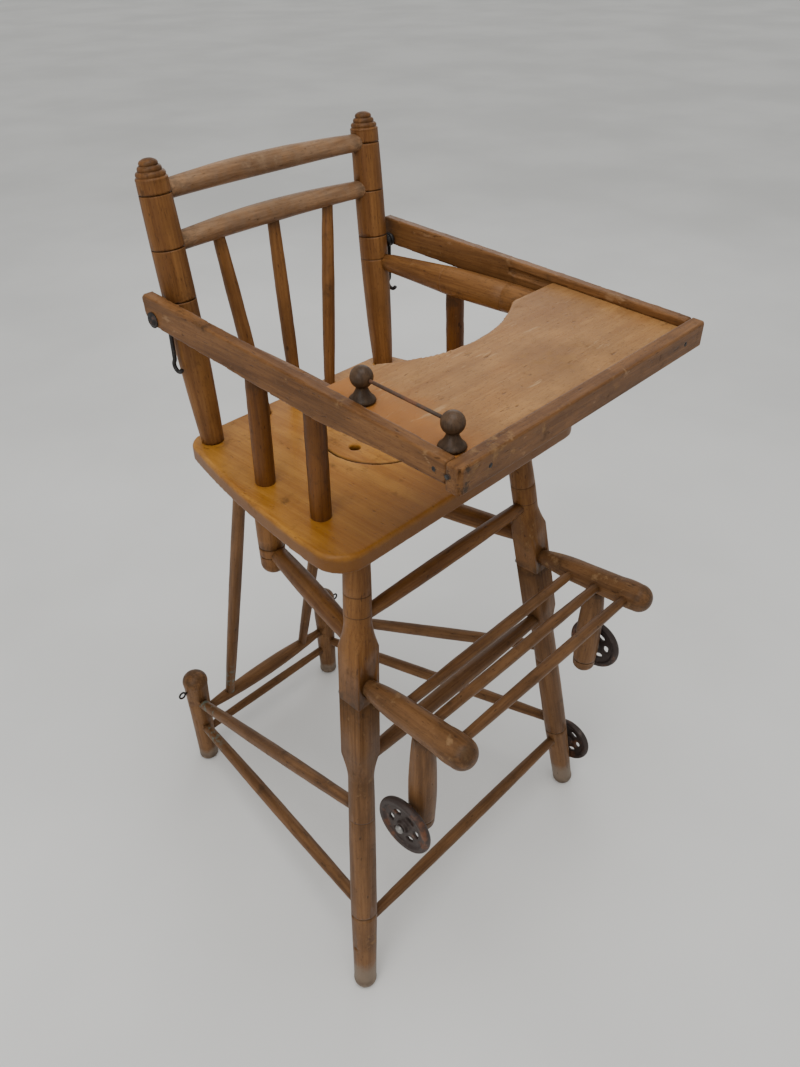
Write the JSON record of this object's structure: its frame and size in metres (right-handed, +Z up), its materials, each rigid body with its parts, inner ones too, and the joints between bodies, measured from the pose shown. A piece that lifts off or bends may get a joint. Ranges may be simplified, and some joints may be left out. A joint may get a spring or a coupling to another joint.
{
  "type": "baby high chair",
  "caption": "Turned-wood baby high chair with a lift-up tray, a lift-out seat lid and a folding lower frame that turns it into a low rolling chair.",
  "frame": {"origin": "on the floor, in the chair's plane of symmetry and half way between its front and its rear, as it stands tall", "axes": "+Z up, the chair faces -Y, +X is the child's left"},
  "size_m": [0.4865, 0.5816, 0.9502],
  "materials": {
    "seat_wood": "old golden-orange varnish, worn",
    "frame_beech": "old honey-orange varnish, worn",
    "crest_wood": "greyed varnish, worn",
    "lower_beech": "reddish-brown varnish, scuffed",
    "tray_wood": "worn pale wood with varnish left in places",
    "cast_wheel": "dark brown-black paint, dull",
    "black_iron": "dark oxidised iron",
    "steel": "dulled grey steel"
  },
  "bodies": {
    "frame": {"seat_board": "seat_wood", "lid_cleats": "seat_wood", "upper_front_stretcher": "frame_beech", "footrest_rods": "frame_beech", "tray_bolts": "steel", "upper_hinge_leaves": "steel", "front_axle_screws": "steel", "crest_rail_upper": "crest_wood", "crest_rail_lower": "crest_wood", "back_spindle_left": "frame_beech", "back_spindle_centre": "frame_beech", "back_spindle_right": "frame_beech", "back_post_left": "frame_beech", "arm_left": "frame_beech", "arm_spindles_left": "frame_beech", "rear_stub_left": "frame_beech", "upper_front_leg_left": "frame_beech", "upper_side_stretcher_left": "frame_beech", "footrest_arm_left": "frame_beech", "wheel_leg_left": "frame_beech", "back_post_right": "frame_beech", "arm_right": "frame_beech", "arm_spindles_right": "frame_beech", "rear_stub_right": "frame_beech", "upper_front_leg_right": "frame_beech", "upper_side_stretcher_right": "frame_beech", "footrest_arm_right": "frame_beech", "wheel_leg_right": "frame_beech"},
    "lower_frame": {"lower_cross_bar": "lower_beech", "lower_front_stretcher": "lower_beech", "rear_rod": "lower_beech", "screw_eyes": "black_iron", "lower_hinge_leaves": "steel", "rear_axle_screw": "steel", "lower_front_leg_left": "lower_beech", "side_stretcher_upper_left": "lower_beech", "side_stretcher_lower_left": "lower_beech", "rear_foot_post_left": "lower_beech", "lower_front_leg_right": "lower_beech", "side_stretcher_upper_right": "lower_beech", "side_stretcher_lower_right": "lower_beech", "rear_foot_post_right": "lower_beech"},
    "prop_frame": {"prop_rear_bar": "lower_beech", "prop_left": "lower_beech", "prop_right": "lower_beech", "prop_top_bar": "lower_beech"},
    "tray": {"tray_rail_left": "tray_wood", "tray_rail_right": "tray_wood", "tray_front_rail": "tray_wood", "tray_board": "tray_wood", "bead_posts": "tray_wood", "bead_wire": "steel", "tray_nails": "black_iron"},
    "seat_lid": {"seat_lid": "seat_wood"},
    "wheel_front_left": {"wheel_front_left": "cast_wheel"},
    "wheel_front_right": {"wheel_front_right": "cast_wheel"},
    "wheel_rear_left": {"wheel_rear_left": "cast_wheel"},
    "hook_left": {"hook_left": "black_iron"},
    "hook_right": {"hook_right": "black_iron"}
  },
  "joints": [
    {"name": "fold", "type": "hinge", "parent": "frame", "child": "lower_frame", "pos_m": [0, -0.1056, 0.442], "axis": [1, 0, 0], "range_deg": [0, 88]},
    {"name": "prop_swing", "type": "hinge", "parent": "lower_frame", "child": "prop_frame", "pos_m": [0, 0.273, 0.099], "axis": [1, 0, 0], "range_deg": [-115, 0]},
    {"name": "tray_lift", "type": "hinge", "parent": "frame", "child": "tray", "pos_m": [0, 0.131, 0.807], "axis": [-1, 0, 0], "range_deg": [0, 105]},
    {"name": "seat_lid_lift", "type": "slide", "parent": "frame", "child": "seat_lid", "axis": [0, 0, 1], "range_m": [0, 0.1]},
    {"name": "hook_left_swing", "type": "hinge", "parent": "frame", "child": "hook_left", "pos_m": [0.1608, 0.131, 0.807], "axis": [1, 0, 0], "range_deg": [-15, 70]},
    {"name": "hook_right_swing", "type": "hinge", "parent": "frame", "child": "hook_right", "pos_m": [-0.1608, 0.131, 0.807], "axis": [1, 0, 0], "range_deg": [-15, 70]},
    {"name": "wheel_front_left_spin", "type": "hinge", "parent": "frame", "child": "wheel_front_left", "pos_m": [0.1875, -0.215, 0.34], "axis": [1, 0, 0], "continuous": true},
    {"name": "wheel_front_right_spin", "type": "hinge", "parent": "frame", "child": "wheel_front_right", "pos_m": [-0.1875, -0.219, 0.332], "axis": [1, 0, 0], "continuous": true},
    {"name": "wheel_rear_left_spin", "type": "hinge", "parent": "lower_frame", "child": "wheel_rear_left", "pos_m": [0.23908, -0.17223, 0.072], "axis": [1, 0, 0], "continuous": true}
  ],
  "couplings": [
    {"joint": "prop_swing", "follows": "fold", "ratio": -1.3}
  ]
}
